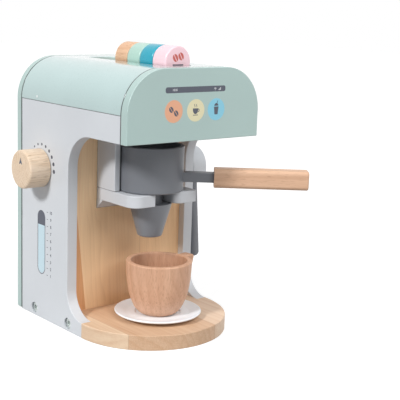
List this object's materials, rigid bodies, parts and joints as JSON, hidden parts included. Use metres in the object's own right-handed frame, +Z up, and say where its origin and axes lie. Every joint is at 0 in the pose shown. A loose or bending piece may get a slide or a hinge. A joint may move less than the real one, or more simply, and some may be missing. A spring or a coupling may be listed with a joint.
{
  "type": "toy coffee maker",
  "caption": "Toy espresso machine of painted board and pine with a turning knob, removable filter handle, steam wand, capsules in the roof, cup and saucer.",
  "frame": {"origin": "on the floor under the spout, at the centre of the base's round front", "axes": "+X to the right seen from the front, +Y to the back, +Z up"},
  "size_m": [0.2608, 0.2625, 0.3236],
  "materials": {
    "panel_grey": "satin paint on board",
    "mint": "satin paint on board",
    "pine": "clear matt lacquer",
    "beech": "clear matt lacquer",
    "charcoal": "satin paint on turned wood",
    "plywood": "raw",
    "capsule_pink": "satin paint",
    "capsule_blue": "gloss paint",
    "capsule_green": "satin paint",
    "capsule_wood": "clear matt lacquer",
    "saucer_white": "satin paint",
    "steel": "zinc plated"
  },
  "bodies": {
    "machine": {"side_panel_left": "panel_grey", "side_panel_right": "panel_grey", "base_board": "pine", "back_panel": "mint", "fascia": "mint", "roof_shell": "mint", "recess_wall": "pine", "ceiling_board": "panel_grey", "capsule_tray": "plywood", "roof_batten_left": "plywood", "roof_batten_right": "plywood", "group_block": "panel_grey", "fork_board": "panel_grey", "fork_bracket": "panel_grey", "panel_bolts": "steel", "wall_dowels": "beech", "ceiling_dowels": "beech", "back_dowels": "beech", "fascia_dowels": "beech", "block_screws": "steel", "fork_screws": "steel", "roof_pins": "steel"},
    "knob": {"knob": "pine", "knob_spindle": "beech", "knob_washer": "steel", "knob_retainer": "plywood"},
    "spout": {"spout": "charcoal"},
    "filter": {"filter_cup": "charcoal", "filter_bar": "charcoal", "filter_handle": "beech"},
    "steam": {"steam_block": "panel_grey", "steam_wand": "charcoal", "steam_pin": "beech"},
    "saucer": {"saucer": "saucer_white"},
    "cup": {"cup": "beech"},
    "capsule_1": {"capsule_1": "capsule_pink"},
    "capsule_2": {"capsule_2": "capsule_blue"},
    "capsule_3": {"capsule_3": "capsule_green"},
    "capsule_4": {"capsule_4": "capsule_wood"}
  },
  "joints": [
    {"name": "knob_turn", "type": "hinge", "parent": "machine", "child": "knob", "pos_m": [-0.103, 0.0884, 0.1792], "axis": [1, 0, 0], "continuous": true},
    {"name": "filter_slide", "type": "slide", "parent": "machine", "child": "spout", "axis": [0, -1, 0], "range_m": [0, 0.12]},
    {"name": "filter_turn", "type": "hinge", "parent": "spout", "child": "filter", "pos_m": [0, 0, 0.1763], "axis": [0, 0, 1], "range_deg": [-140, 39]},
    {"name": "steam_swing", "type": "hinge", "parent": "machine", "child": "steam", "pos_m": [0.1004, 0.0497, 0.186], "axis": [1, 0, 0], "range_deg": [-60, 60]},
    {"name": "saucer_slide", "type": "slide", "parent": "machine", "child": "saucer", "axis": [0, -1, 0], "range_m": [0, 0.1]},
    {"name": "cup_lift", "type": "slide", "parent": "saucer", "child": "cup", "axis": [0, 0, 1], "range_m": [0, 0.02]},
    {"name": "capsule_1_lift", "type": "slide", "parent": "machine", "child": "capsule_1", "axis": [0, 0, 1], "range_m": [0, 0.05]},
    {"name": "capsule_2_lift", "type": "slide", "parent": "machine", "child": "capsule_2", "axis": [0, 0, 1], "range_m": [0, 0.05]},
    {"name": "capsule_3_lift", "type": "slide", "parent": "machine", "child": "capsule_3", "axis": [0, 0, 1], "range_m": [0, 0.05]},
    {"name": "capsule_4_lift", "type": "slide", "parent": "machine", "child": "capsule_4", "axis": [0, 0, 1], "range_m": [0, 0.05]}
  ]
}
